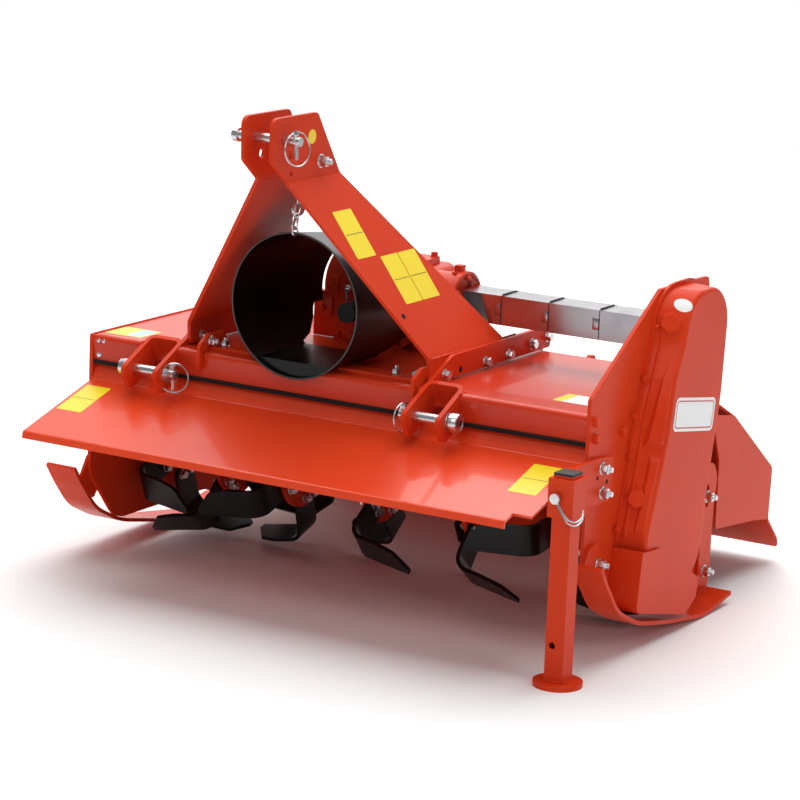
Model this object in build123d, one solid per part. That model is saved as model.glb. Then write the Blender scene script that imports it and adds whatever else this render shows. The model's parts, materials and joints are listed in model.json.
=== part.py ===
"""Three-point rotavator with a side chain drive, as separate named pieces.

Millimetres. X runs across the machine (+X to the chain case), Y to the rear, Z up.
While it is drawn, X = 0 is the hitch centre, Y = 0 the lower hitch pins and Z = 0 the floor.
At the end every piece moves so that the origin is on the floor under the whole's centre.
"""
import os
from math import atan2, hypot, sin, tan

from build123d import (
    Axis, Box, Circle, Compound, Cylinder, Face, Line, Location, Plane, Pos, Rot, ThreePointArc, Vector,
    Wire, export_step, extrude, fillet, loft, offset,
)

# ---------------------------------------------------------------- main sizes
PLATE = 8.0                  # side plates, tower plates
SHEET = 5.0                  # deck, front guard and rear flap
LEFT_IN = -507.0             # inner face of the left side plate
RIGHT_IN = 663.0             # inner face of the right side plate
LEFT_OUT = LEFT_IN - PLATE
RIGHT_OUT = RIGHT_IN + PLATE
DECK_TOP = 491.0
DECK_FRONT = 35.0
DECK_REAR = 535.0

# hitch
PIN_Z = 442.0
LOWER_PIN_R = 11.0
UPPER_PIN_R = 9.5
UPPER_PIN = (-93.0, 969.0)   # y, z
SPARE_HOLE = (-68.0, 934.0)
SPARE_HOLE_R = 9.75
TOWER_GAP = 58.0             # between the inner faces at the top
TOWER_TOP = 1013.0
FLARE_TOP = 883.0            # height of the upper fold
FLARE_FOOT = 540.0           # height of the lower fold
FOOT_X = 288.0               # middle of the upright foot of each tower plate
EAR_X = 297.0                # middle of the inner ear and of the rail behind it
OUTER_EAR_X = 375.0
EAR_DEPTH = 58.0
EAR_T = 10.0
RAIL_TOP = 541.0
RAIL_BOTTOM = 495.0
RAIL_END = 556.0

# rotor
ROTOR_Y, ROTOR_Z = 310.0, 200.0
ROTOR_TUBE_R = 38.0
STUB_R = 20.0                # shaft ends that turn in the bearing and the chain case
STUB_BORE = 22.0
FLANGE_R = 78.0
BLADE_T = 8.0
FOOT_LEN = 140.0             # sideways reach of a blade's foot

# drive
SHAFT_Y, SHAFT_Z = 390.0, 600.0     # upper chain shaft
PTO_Z = 576.0
CAP_FRONT = 220.0                   # front face of the cap on the input shaft
GUARD_Z = 619.0                     # middle of the open front; the rear end sits lower
GUARD_REAR_Z = 600.0
GUARD_R = 150.0                     # at the open front; it narrows to the rear
GUARD_REAR_R = 132.0
GUARD_T = 4.0
GUARD_FRONT = 20.0
GUARD_REAR = 331.0
GEARBOX_FRONT = 352.0
CASE_OUT = 733.0                    # outer face of the chain case

# rear flap hinge
HINGE_Y, HINGE_Z = 556.0, 478.0
HINGE_ROD_R = 6.0

# stand
LEG_X, LEG_Y = 708.0, -118.0
LEG = 40.0
SLEEVE_GAP = 1.0
SLEEVE_WALL = 6.0
SLEEVE_Z0, SLEEVE_Z1 = 331.0, 407.0
FOOT_R, FOOT_T = 48.0, 10.0
LEG_TOP = 412.0



# ---------------------------------------------------------------- drawing helpers
def corner(before, here, after, radius):
    """Start, middle and end of the arc that rounds one corner."""
    ax, ay = before[0] - here[0], before[1] - here[1]
    bx, by = after[0] - here[0], after[1] - here[1]
    la, lb = hypot(ax, ay), hypot(bx, by)
    ax, ay, bx, by = ax / la, ay / la, bx / lb, by / lb
    half = abs(atan2(ax * by - ay * bx, ax * bx + ay * by)) / 2
    reach = radius / tan(half)
    mx, my = ax + bx, ay + by
    lm = hypot(mx, my)
    deep = radius / sin(half) - radius
    start = (here[0] + ax * reach, here[1] + ay * reach)
    middle = (here[0] + mx / lm * deep, here[1] + my / lm * deep)
    end = (here[0] + bx * reach, here[1] + by * reach)
    return start, middle, end


def outline(rows):
    """Flat face from a table of corners: (u, v, rounding radius)."""
    count = len(rows)
    stops = []
    for i, (u, v, radius) in enumerate(rows):
        if radius > 0:
            stops.append(corner(rows[i - 1], (u, v), rows[(i + 1) % count], radius))
        else:
            stops.append(((u, v), None, (u, v)))
    edges = []
    for i, (start, middle, end) in enumerate(stops):
        if middle:
            edges.append(ThreePointArc(start, middle, end))
        following = stops[(i + 1) % count][0]
        if hypot(following[0] - end[0], following[1] - end[1]) > 1e-6:
            edges.append(Line(end, following))
    return Face(Wire(edges))


def band(path, thick):
    """Table of corners of a sheet's edge: path rows are (u, v, bend radius of the middle)."""
    left, right = [], []
    count = len(path)
    for i, (u, v, radius) in enumerate(path):
        before = path[max(i - 1, 0)]
        after = path[min(i + 1, count - 1)]
        if i == 0:
            before = (2 * u - after[0], 2 * v - after[1])
        if i == count - 1:
            after = (2 * u - before[0], 2 * v - before[1])
        d1 = (u - before[0], v - before[1])
        d2 = (after[0] - u, after[1] - v)
        l1, l2 = hypot(*d1), hypot(*d2)
        n1 = (-d1[1] / l1, d1[0] / l1)
        n2 = (-d2[1] / l2, d2[0] / l2)
        mx, my = n1[0] + n2[0], n1[1] + n2[1]
        scale = thick / (mx * mx + my * my)
        turn = d1[0] * d2[1] - d1[1] * d2[0]
        near = max(radius - thick / 2, 0.5) if radius else 0
        far = radius + thick / 2 if radius else 0
        left.append((u + mx * scale, v + my * scale, near if turn > 0 else far))
        right.append((u - mx * scale, v - my * scale, far if turn > 0 else near))
    return left + right[::-1]


def across(rows, x0, x1):
    """Solid from a (y, z) outline, reaching from x0 to x1."""
    return extrude(Plane.YZ.offset(x0) * outline(rows), x1 - x0, dir=(1, 0, 0))


def along(rows, y0, y1):
    """Solid from an (x, z) outline, reaching from y0 to y1."""
    return extrude(Plane.XZ.offset(-y0) * outline(rows), y1 - y0, dir=(0, 1, 0))


def upward(rows, z0, z1):
    """Solid from an (x, y) outline, reaching from z0 to z1."""
    return extrude(Plane.XY.offset(z0) * outline(rows), z1 - z0, dir=(0, 0, 1))


def block(x0, x1, y0, y1, z0, z1):
    return Pos((x0 + x1) / 2, (y0 + y1) / 2, (z0 + z1) / 2) * Box(x1 - x0, y1 - y0, z1 - z0)


def rod_x(x0, x1, y, z, r):
    return Pos((x0 + x1) / 2, y, z) * Rot(0, 90, 0) * Cylinder(r, x1 - x0)


def rod_y(y0, y1, x, z, r):
    return Pos(x, (y0 + y1) / 2, z) * Rot(90, 0, 0) * Cylinder(r, y1 - y0)


def rod_z(z0, z1, x, y, r):
    return Pos(x, y, (z0 + z1) / 2) * Cylinder(r, z1 - z0)


def fuse(pieces):
    first = pieces[0]
    for piece in pieces[1:]:
        first = first + piece
    return first


parts = {}

# ---------------------------------------------------------------- deck
deck_path = [
    (DECK_FRONT + 9, 436, 0),
    (DECK_FRONT + 2.5, DECK_TOP - 2.5, 8),
    (DECK_REAR - 2.5, DECK_TOP - 2.5, 8),
    (DECK_REAR - 2.5, 452, 0),
]
parts["deck"] = across(band(deck_path, SHEET), LEFT_IN, RIGHT_IN)

# front crossbar: a flat tie on the deck with an upright plate at each end; the right one
# stands against the tower plate's foot, the left one stands clear of it
BAR_LEFT = -234.0
BAR_RIGHT = FOOT_X - PLATE / 2
BAR_T = 8.0
crossbar = block(BAR_LEFT + 2, BAR_RIGHT - 2, 62, 106, DECK_TOP, DECK_TOP + BAR_T)
bar_plate_rows = [
    (20, 470, 10), (24, 508, 12), (54, 526, 10), (118, 526, 10), (118, DECK_TOP, 0),
    (33, DECK_TOP, 0), (36, 455, 4), (24, 452, 6),
]
for x0 in (BAR_LEFT, BAR_RIGHT - 8):
    crossbar = crossbar + across(bar_plate_rows, x0, x0 + 8)
parts["front_crossbar"] = crossbar

# ---------------------------------------------------------------- side plates
# low end of both plates, from the lobe that carries the skid's slotted arm round to the front
plate_foot_rows = [
    (DECK_REAR + 8, 330, 20), (594, 284, 24), (592, 46, 18), (520, 50, 40), (470, 70, 60),
    (130, 70, 70), (DECK_FRONT, 190, 60),
]
left_plate_rows = [(DECK_FRONT, DECK_TOP, 6), (DECK_REAR + 8, DECK_TOP, 6)] + plate_foot_rows
parts["left_side_plate"] = across(left_plate_rows, LEFT_OUT, LEFT_IN)

right_plate_rows = [
    (DECK_FRONT, 522, 12), (313, 700, 10), (533, 697, 14), (545, 640, 20),
] + plate_foot_rows
parts["right_side_plate"] = across(right_plate_rows, RIGHT_IN, RIGHT_OUT)

# ---------------------------------------------------------------- tower plates
tower_rows = [
    (-134, TOWER_TOP, 20), (-131, 926, 12), (-77, FLARE_TOP, 0), (70, FLARE_FOOT, 10),
    (74, RAIL_BOTTOM, 8), (420, RAIL_BOTTOM, 12), (420, FLARE_FOOT - 12, 10),
    (368, FLARE_FOOT, 16), (121, FLARE_TOP - 3, 12), (28, TOWER_TOP, 15),
]
tower_outline = across(tower_rows, -500, 500)


def tower_plate(side):
    """One bent plate: upright at the top, flared below the fold, upright again at the rail."""
    top = side * (TOWER_GAP / 2 + PLATE / 2)
    foot = side * FOOT_X
    profile = [(top, 1020, 0), (top, FLARE_TOP, 14), (foot, FLARE_FOOT, 14), (foot, 485, 0)]
    return along(band(profile, PLATE), -160, 540) & tower_outline


small_holes = [
    (UPPER_PIN[0], UPPER_PIN[1], UPPER_PIN_R),
    (SPARE_HOLE[0], SPARE_HOLE[1], SPARE_HOLE_R),
    (-63, 899, 5.5),
]
for name, side in (("left", -1), ("right", 1)):
    plate = tower_plate(side)
    for y, z, r in small_holes:
        plate = plate - rod_x(-60, 60, y, z, r)
    parts[name + "_tower_plate"] = plate

# ---------------------------------------------------------------- lower hitch clevises
# Each clevis is a strap bent to a U, lying in a plane that slopes down to the front.
# Its long inner ear carries on over the deck as a straight rail.
SLOPE = Plane(origin=(0, -18.1, 397.1), x_dir=(1, 0, 0), z_dir=(0, -0.4472, 0.8944))
EAR_REACH = 118.0             # from the ears' tips to the middle of the web
under_deck = across([(34.4, DECK_TOP, 0), (40.9, 436, 0), (40.9, 300, 0), (300, 300, 0),
                     (300, DECK_TOP, 0)], -500, 500)
rail_rows = [
    (24, 481.5, 0), (143, RAIL_TOP, 44), (RAIL_END, RAIL_TOP, 8), (RAIL_END, RAIL_BOTTOM, 6),
    (142, RAIL_BOTTOM, 0), (130, 484, 0), (DECK_FRONT, 472, 0), (26, 466, 0),
]


def clevis(side):
    """The U of one lower hitch point, with its rail."""
    u_path = [
        (side * EAR_X, 0, 0), (side * EAR_X, EAR_REACH, 16),
        (side * OUTER_EAR_X, EAR_REACH, 16), (side * OUTER_EAR_X, 0, 0),
    ]
    strap = extrude(SLOPE * outline(band(u_path, EAR_T)), EAR_DEPTH, dir=(0, -0.4472, 0.8944))
    strap = fillet([e for e in strap.edges().filter_by(Axis.X) if e.center().Y < 0], 15)
    throat = [
        (side * (EAR_X - EAR_T / 2), -60, 0), (side * (EAR_X - EAR_T / 2), EAR_REACH + EAR_T / 2, 21),
        (side * (OUTER_EAR_X + EAR_T / 2), EAR_REACH + EAR_T / 2, 21),
        (side * (OUTER_EAR_X + EAR_T / 2), -60, 0),
    ]
    notch = extrude(SLOPE * outline(throat), EAR_DEPTH + 20, dir=(0, -0.4472, 0.8944))
    parts["deck"] = parts["deck"] - notch
    x0, x1 = sorted((side * (EAR_X - EAR_T / 2), side * (EAR_X + EAR_T / 2)))
    rail = across(rail_rows, x0, x1)
    low, high = sorted((side * 280, side * 400))
    return strap + (rail - under_deck) - rod_x(low, high, 0, PIN_Z, LOWER_PIN_R)


parts["left_clevis"] = clevis(-1)
parts["right_clevis"] = clevis(1)

for name, side in (("left", -1), ("right", 1)):
    inner, outer = side * 270.0, side * 404.0
    x0, x1 = sorted((inner, outer))
    pin = rod_x(x0, x1, 0, PIN_Z, LOWER_PIN_R)
    h0, h1 = sorted((side * 384.0, side * 404.0))
    parts[name + "_hitch_pin"] = pin + rod_x(h0, h1, 0, PIN_Z, 17)

parts["upper_hitch_pin"] = (
    rod_x(-72, 76, UPPER_PIN[0], UPPER_PIN[1], UPPER_PIN_R)
    + rod_x(-78, -66, UPPER_PIN[0], UPPER_PIN[1], 14)
)

# ---------------------------------------------------------------- front guard
guard_path = [(-201, 309, 0), (-198.5, 322, 5), (36, 393, 10), (53, 425, 0)]
GUARD_RIGHT_CUT = 622.0
front_guard = across(band(guard_path, SHEET), LEFT_IN, RIGHT_IN)
notch = block(GUARD_RIGHT_CUT, RIGHT_IN + 5, -260, -170, 280, 350)
parts["front_guard"] = front_guard - notch

# ---------------------------------------------------------------- skids
skid_path = [
    (-8, 206, 0), (18, 168, 60), (70, 104, 130), (160, 60, 250), (300, 31, 400), (476, 4.5, 200),
    (598, 24, 0),
]


def skid(side, face, width):
    x0, x1 = sorted((face, face + side * width))
    strip = across(band(skid_path, 8), x0, x1)
    f0, f1 = sorted((face, face + side * 8))
    front_lug = across([(12, 176, 0), (60, 130, 0), (104, 186, 16), (80, 234, 16), (42, 226, 14)],
                       f0, f1)
    rear_arm = across([(548, 10, 0), (594, 18, 0), (604, 72, 40), (606, 193, 150), (616, 262, 26),
                       (596, 298, 26), (556, 296, 24), (551, 200, 0)], f0, f1)
    slot = across([(566, 204, 6), (579, 204, 6), (579, 253, 6), (566, 253, 6)], f0 - 2, f1 + 2)
    return strip + front_lug + (rear_arm - slot)


parts["left_skid"] = skid(-1, LEFT_OUT, 75)
parts["right_skid"] = skid(1, RIGHT_OUT, 64)

# ---------------------------------------------------------------- stand sleeve
inner_half = LEG / 2 + SLEEVE_GAP
outer_half = inner_half + SLEEVE_WALL
sleeve = block(LEG_X - outer_half, LEG_X + outer_half, LEG_Y - outer_half, LEG_Y + outer_half,
               SLEEVE_Z0, SLEEVE_Z1)
sleeve = sleeve - block(LEG_X - inner_half, LEG_X + inner_half, LEG_Y - inner_half,
                        LEG_Y + inner_half, 300, 450)
bracket_rows = [(-96, 340, 0), (60, 312, 0), (124, 312, 14), (124, 398, 14), (60, 404, 10), (-96, 404, 0)]
sleeve = sleeve + across(bracket_rows, RIGHT_OUT, LEG_X - outer_half)
parts["stand_sleeve"] = sleeve - rod_y(LEG_Y - outer_half - 2, LEG_Y - inner_half, LEG_X - 6, 371, 6)
parts["stand_pin"] = (
    rod_y(LEG_Y - outer_half - 8, LEG_Y - inner_half, LEG_X - 6, 371, 6)
    + rod_y(LEG_Y - outer_half - 14, LEG_Y - outer_half - 5, LEG_X - 6, 371, 10)
)
leg = block(LEG_X - LEG / 2, LEG_X + LEG / 2, LEG_Y - LEG / 2, LEG_Y + LEG / 2, FOOT_T - 2, LEG_TOP)
leg = leg - block(LEG_X - 16, LEG_X + 16, LEG_Y - 16, LEG_Y + 16, FOOT_T + 4, LEG_TOP + 5)
leg = leg - rod_y(LEG_Y - 40, LEG_Y, LEG_X - 6, 81, 6.5)
parts["stand_leg"] = leg + rod_z(0, FOOT_T, LEG_X, LEG_Y, FOOT_R)
parts["stand_cap"] = (
    block(LEG_X - LEG / 2, LEG_X + LEG / 2, LEG_Y - LEG / 2, LEG_Y + LEG / 2, LEG_TOP, LEG_TOP + 5)
    + block(LEG_X - 16, LEG_X + 16, LEG_Y - 16, LEG_Y + 16, LEG_TOP - 18, LEG_TOP)
)

# ---------------------------------------------------------------- gearbox
body_rows = [(-92, 505, 0), (-92, 640, 26), (-70, 652, 16), (70, 652, 16), (92, 640, 26), (92, 505, 0)]
gearbox = along(body_rows, GEARBOX_FRONT, 520)
gearbox = gearbox + upward([(-118, 360, 8), (118, 360, 8), (118, 526, 8), (-118, 526, 8)], DECK_TOP, 512)
gearbox = gearbox + rod_y(GEARBOX_FRONT - 12, GEARBOX_FRONT, 0, 602, 128)
gearbox = gearbox + rod_y(GEARBOX_FRONT - 26, GEARBOX_FRONT - 10, 0, PTO_Z, 46)
gearbox = gearbox + upward([(-64, 376, 14), (64, 376, 14), (64, 500, 14), (-64, 500, 14)], 648, 666)
gearbox = gearbox + rod_x(90, 190, SHAFT_Y, SHAFT_Z, 58)
gearbox = gearbox + rod_x(-112, -90, SHAFT_Y, SHAFT_Z, 58)
gearbox = gearbox + rod_y(518, 532, 0, PTO_Z, 60)
# two lugs that hold the guard
gearbox = gearbox + block(-140, -104, GUARD_REAR, GEARBOX_FRONT - 4, 538, 592)
gearbox = gearbox + block(104, 140, GUARD_REAR, GEARBOX_FRONT - 4, 538, 592)
gearbox = gearbox - block(-300, 300, 300, 560, 440, DECK_TOP)
parts["gearbox"] = gearbox - rod_y(300, 402, 0, PTO_Z, 22)

parts["drive_tube"] = rod_x(190, RIGHT_IN, SHAFT_Y, SHAFT_Z, 22)

COVER_TOP, COVER_FOOT = 631.0, 570.0
cover = block(200, RIGHT_IN, SHAFT_Y - 38, SHAFT_Y + 38, COVER_FOOT, COVER_TOP)
cover = cover - block(190, RIGHT_IN + 5, SHAFT_Y - 36.5, SHAFT_Y + 36.5, COVER_FOOT - 8, COVER_TOP - 1.5)
parts["shaft_cover"] = cover

# ---------------------------------------------------------------- chain case
CASE_FLANGE = 6.0
CASE_FLANGE = 6.0
# outline on the rim and outline of the outer face: the walls between them lean
case_base_rows = [
    (292, 698, 86), (516, 698, 86), (502, 470, 200), (458, 250, 200), (438, 72, 116), (174, 74, 116),
    (170, 240, 60), (206, 375, 120), (214, 430, 90), (256, 530, 120), (280, 598, 90),
]
case_outer_rows = [
    (330, 695, 78), (510, 695, 82), (494, 470, 200), (448, 250, 200), (430, 80, 110), (184, 84, 110),
    (184, 235, 60), (232, 360, 200), (256, 430, 120), (272, 535, 90), (306, 600, 90),
]
case_base = outline(case_base_rows)
case_outer = outline(case_outer_rows)
walls = loft([Plane.YZ.offset(RIGHT_OUT) * case_base, Plane.YZ.offset(CASE_OUT) * case_outer], ruled=True)
walls = fillet(walls.edges().group_by(Axis.X)[-1], 8)
rim = extrude(Plane.YZ.offset(RIGHT_OUT) * offset(case_base, 9), CASE_FLANGE, dir=(1, 0, 0))
case_room = extrude(Plane.YZ.offset(RIGHT_OUT - 1) * offset(case_outer, -7), CASE_OUT - RIGHT_OUT - 4,
                    dir=(1, 0, 0))
parts["chain_case"] = walls + rim - case_room

# shield over the front and the underside of the case's lower end
shield_path = [(158, 206, 0), (142, 88, 16), (366, 36, 14), (414, 62, 0)]
shield_face_rows = [
    (160, 204, 0), (236, 199, 6), (348, 139, 6), (421, 97, 10), (414, 64, 4), (366, 36, 10), (142, 88, 12),
]
shield = across(band(shield_path, 5), RIGHT_OUT, CASE_OUT + 7)
parts["chain_case_shield"] = shield + across(shield_face_rows, CASE_OUT + 2, CASE_OUT + 7)

# ---------------------------------------------------------------- PTO guard
GUARD_SEAT = DECK_TOP + BAR_T       # the underside is flat where it rests on the tie bar


def guard_cone(y0, y1, shrink, bottom, bottom_from):
    """Leaning cone between two heights along Y, with its underside levelled off behind the rim."""
    sections = []
    for y in (y0, y1):
        share = (y - GUARD_FRONT) / (GUARD_REAR - GUARD_FRONT)
        radius = GUARD_R + share * (GUARD_REAR_R - GUARD_R) - shrink
        height = GUARD_Z + share * (GUARD_REAR_Z - GUARD_Z)
        sections.append(Plane.XZ.offset(-y) * Pos(0, height) * Circle(radius))
    return loft(sections, ruled=True) - block(-200, 200, bottom_from, 400, 400, bottom)


guard = guard_cone(GUARD_FRONT, GUARD_REAR, 0, GUARD_SEAT, 34)
guard = guard - guard_cone(GUARD_FRONT - 10, GUARD_REAR + 10, GUARD_T, GUARD_SEAT + GUARD_T, 34 - GUARD_T)
# the lower rear is open towards the gearbox
guard_opening_rows = [
    (205, 400, 0), (205, 508, 0), (246, 518, 60), (281, 543, 30), (296, 572, 6), (350, 572, 0), (350, 400, 0),
]
parts["pto_guard"] = guard - across(guard_opening_rows, -200, 200)

# ---------------------------------------------------------------- rotor
rotor = rod_x(LEFT_IN + 8, RIGHT_IN - 8, ROTOR_Y, ROTOR_Z, ROTOR_TUBE_R)
rotor = rotor + rod_x(LEFT_OUT - 22, RIGHT_OUT + 22, ROTOR_Y, ROTOR_Z, STUB_R)
for x in (-480, -315, -150, 52, 292, 504):
    rotor = rotor + rod_x(x - 5, x + 5, ROTOR_Y, ROTOR_Z, FLANGE_R)
parts["rotor_shaft"] = rotor

# side view of a blade that hangs straight down
blade_side_rows = [
    (-28, -48, 12), (28, -48, 12), (33, -110, 80), (31, -200, 0), (-31, -200, 0), (-33, -110, 80),
]
BEND_R, TIP_R = 157.0, 184.0      # middle of the sheet at the bend's corner and at the foot's tip


def blade(side):
    """One L-shaped blade, hanging down from the axis, its foot turned to side."""
    profile = [(0, -48, 0), (0, -BEND_R, 34), (side * FOOT_LEN, -TIP_R, 0)]
    bent = along(band(profile, BLADE_T), -80, 80)
    foot_rows = [
        (-side * 12, -34, 0), (side * 60, -34, 40), (side * 112, -22, 10),
        (side * (FOOT_LEN + 2), 20, 6), (side * (FOOT_LEN - 2), 34, 8), (side * 40, 34, 0),
        (-side * 12, 34, 0),
    ]
    return bent & across(blade_side_rows, -160, 160) & upward(foot_rows, -210, -40)


# one row to a flange: place on the shaft, turn of its first blade, sides of its four blades
flange_table = [
    (-480, 20, (1, 1, 1, 1)),
    (-315, 51, (1, -1, 1, -1)),
    (-150, 18, (-1, 1, -1, -1)),
    (52, 38, (-1, 1, -1, 1)),
    (292, 51, (-1, 1, -1, 1)),
    (504, 5, (1, -1, 1, -1)),
]
shapes = {1: blade(1), -1: blade(-1)}
groups = {1: [], -1: []}
for x, first, sides in flange_table:
    for step, side in enumerate(sides):
        stand_off = side * (5 + BLADE_T / 2)
        turn = Rot(first + step * 90, 0, 0)
        groups[side].append(Pos(x + stand_off, ROTOR_Y, ROTOR_Z) * turn * shapes[side])
parts["right_turned_blades"] = Compound(groups[1])
parts["left_turned_blades"] = Compound(groups[-1])

bearing = rod_x(LEFT_OUT - 30, LEFT_OUT, ROTOR_Y, ROTOR_Z, 58)
parts["rotor_bearing"] = bearing - rod_x(LEFT_OUT - 25, LEFT_OUT + 1, ROTOR_Y, ROTOR_Z, STUB_BORE)
for name, x0, x1 in (
    ("left_side_plate", LEFT_OUT - 1, LEFT_IN + 1),
    ("right_side_plate", RIGHT_IN - 1, RIGHT_OUT + 1),
):
    parts[name] = parts[name] - rod_x(x0, x1, ROTOR_Y, ROTOR_Z, STUB_BORE)

# ---------------------------------------------------------------- PTO shaft
parts["input_shaft"] = rod_y(312, 398, 0, PTO_Z, 17.5)
parts["stub_cap"] = rod_y(CAP_FRONT, 312, 0, PTO_Z, 21)

# ---------------------------------------------------------------- rear flap
rod = rod_x(LEFT_IN + 4, RIGHT_IN - 4, HINGE_Y, HINGE_Z, HINGE_ROD_R)
lug_rows = [(DECK_REAR, 456, 0), (DECK_REAR, DECK_TOP - 10, 0), (549, 491, 8), (569, 491, 12), (569, 465, 12)]
for x in (-480, -250, 75, 400, 636):
    rod = rod + across(lug_rows, x - 5, x + 5)
parts["hinge_rod"] = rod
FLAP_X0, FLAP_X1 = LEFT_OUT - 2, RIGHT_OUT + 7
flap_path = [(576, 462, 0), (690, 374, 14), (899, 226, 14), (894, 112, 16), (974, 34, 0)]
flap = across(band(flap_path, SHEET), FLAP_X0, FLAP_X1)
flap_plan = [
    (FLAP_X0 + 56, 480, 0), (FLAP_X1 - 56, 480, 0), (FLAP_X1 - 56, 590, 20), (FLAP_X1, 690, 20),
    (FLAP_X1, 980, 30), (FLAP_X0, 980, 30), (FLAP_X0, 690, 20), (FLAP_X0 + 56, 590, 20),
]
flap = flap & upward(flap_plan, 0, 600)
cheek_rows = [
    (578, 399, 8), (688, 379, 24), (896, 226, 0), (892, 112, 6), (828, 124, 0), (624, 146, 12),
    (624, 292, 30),
]
for x0 in (FLAP_X0, FLAP_X1 - SHEET):
    flap = flap + across(cheek_rows, x0, x0 + SHEET)
for x in (-400, -100, 250, 550):
    knuckle = rod_x(x - 30, x + 30, HINGE_Y, HINGE_Z, 12)
    tab_rows = [(HINGE_Y + 4, HINGE_Z + 9, 0), (594, 452, 0), (590, 446, 0), (HINGE_Y + 2, HINGE_Z - 6, 0)]
    tab = across(tab_rows, x - 30, x + 30)
    flap = flap + ((knuckle + tab) - rod_x(x - 40, x + 40, HINGE_Y, HINGE_Z, HINGE_ROD_R + 0.5))
parts["rear_flap"] = flap


# ---------------------------------------------------------------- write the pieces
os.makedirs("parts", exist_ok=True)
whole = Compound(list(parts.values())).bounding_box()
shift = Vector(-(whole.min.X + whole.max.X) / 2, -(whole.min.Y + whole.max.Y) / 2, 0)
for name, piece in parts.items():
    export_step(piece.moved(Location(shift)), "parts/" + name + ".step")
print("shift", shift.X, shift.Y, "floor", whole.min.Z)
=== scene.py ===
"""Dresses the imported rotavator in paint, zinc and plastic, and adds what the CAD leaves out.

Added here: bolts, welding beads, linch pins, the guard's chain, small trim and blank stickers.
Places are millimetres of the CAD drawing, which at() turns into the frame's metres: x from the
middle of the hitch, y rearwards from the lower hitch pins, z up from the floor.
"""
import math
import random

import bmesh
import bpy
from mathutils import Matrix, Vector
from mathutils.bvhtree import BVHTree
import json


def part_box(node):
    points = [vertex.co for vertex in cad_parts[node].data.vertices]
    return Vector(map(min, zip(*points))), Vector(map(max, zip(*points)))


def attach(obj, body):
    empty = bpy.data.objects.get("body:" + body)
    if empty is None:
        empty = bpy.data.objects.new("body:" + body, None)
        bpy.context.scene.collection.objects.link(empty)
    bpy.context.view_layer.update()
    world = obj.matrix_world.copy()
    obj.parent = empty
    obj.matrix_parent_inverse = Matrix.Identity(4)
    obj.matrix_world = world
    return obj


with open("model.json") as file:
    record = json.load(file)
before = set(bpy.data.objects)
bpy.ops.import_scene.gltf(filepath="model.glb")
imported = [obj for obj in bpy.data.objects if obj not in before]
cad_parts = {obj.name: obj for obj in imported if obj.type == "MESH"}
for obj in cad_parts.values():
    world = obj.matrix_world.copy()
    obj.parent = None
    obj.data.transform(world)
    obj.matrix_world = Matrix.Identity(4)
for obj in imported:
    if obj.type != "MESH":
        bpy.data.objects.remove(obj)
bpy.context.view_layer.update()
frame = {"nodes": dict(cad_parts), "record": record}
scene = bpy.context.scene

# ------------------------------------------------------------ places
MM = 1000.0  # millimetres in a metre
left_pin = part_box("left_hitch_pin")
right_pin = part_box("right_hitch_pin")
HITCH_X = (left_pin[0].x + right_pin[1].x) / 2
HITCH_Y = (left_pin[0].y + left_pin[1].y) / 2

# places that the small parts share with the CAD, in drawing millimetres
TOP_PIN_Y, TOP_PIN_Z = -93.0, 969.0
LOW_PIN_Z = 442.0
CLEVIS_INNER_X, CLEVIS_OUTER_X = 292, 380
TOWER_INNER_X, TOWER_OUTER_X = 29, 37
TOWER_BOLT_Y, TOWER_BOLT_Z = 44, 914
RAIL_OUTER_X, RAIL_BOLT_Z = 302, 507
DECK_TOP = 491
BAR_TOP = 499
GUARD_MOUTH_Y, GUARD_MOUTH_Z, GUARD_MOUTH_R = 20.6, 619, 148.0
GUARD_BACK_Y = 331.0
GEARBOX_FRONT_Y, DISC_Z = 340, 602
GEARBOX_TOP_Z, GEARBOX_FOOT_Z = 666, 512
DRIVE_X, DRIVE_Y, DRIVE_Z = 190, 390, 600
GEARBOX_LEFT_X = -112
COVER_Y, COVER_BACK, COVER_TOP = 352.0, 428.0, 631.0
COVER_LOW = 570.0
LEFT_PLATE_X, RIGHT_PLATE_X = -515, 671
CASE_RIM_X, CASE_OUTER_X = 677, 733.0
BRACKET_X = 681.0
SKID_LEFT_X, SKID_RIGHT_X = -523, 679
BEARING_X = -545
ROTOR_Y, ROTOR_Z = 310, 200
STAND_PIN_X = 702
HINGE_Y, HINGE_Z = 556, 478
# the flare of the right tower plate: its direction downhill and its outward normal
SLOPE = Vector((255, 0, -343)).normalized()
FLARE_NORMAL = (343, 0, 255)
FLARE_TOP_X, FLARE_TOP_Z = 36.2, 885.4
SHEET_NORMAL, SHEET_UP = (0, -0.29, 0.957), (0, 1, 0.3)

# blade sets of the rotor: x, angle of the first blade in degrees, side of each blade
ROTOR_ROWS = [
    (-480, 20, (1, 1, 1, 1)), (-315, 51, (1, -1, 1, -1)), (-150, 18, (-1, 1, -1, -1)),
    (52, 38, (-1, 1, -1, 1)), (292, 51, (-1, 1, -1, 1)), (504, 5, (1, -1, 1, -1)),
]


def at(x, y, z):
    """Drawing millimetres to the scene's metres."""
    return Vector((HITCH_X + x / MM, HITCH_Y + y / MM, z / MM))


# ------------------------------------------------------------ materials
def new_material(name):
    material = bpy.data.materials.new(name)
    material.use_nodes = True
    nodes = material.node_tree.nodes
    return material, nodes, material.node_tree.links, nodes["Principled BSDF"]


def noise(nodes, links, scale, detail=4.0, rough=0.5):
    coords = nodes.new("ShaderNodeTexCoord")
    texture = nodes.new("ShaderNodeTexNoise")
    texture.inputs["Scale"].default_value = scale
    texture.inputs["Detail"].default_value = detail
    texture.inputs["Roughness"].default_value = rough
    links.new(coords.outputs["Object"], texture.inputs["Vector"])
    return texture


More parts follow.
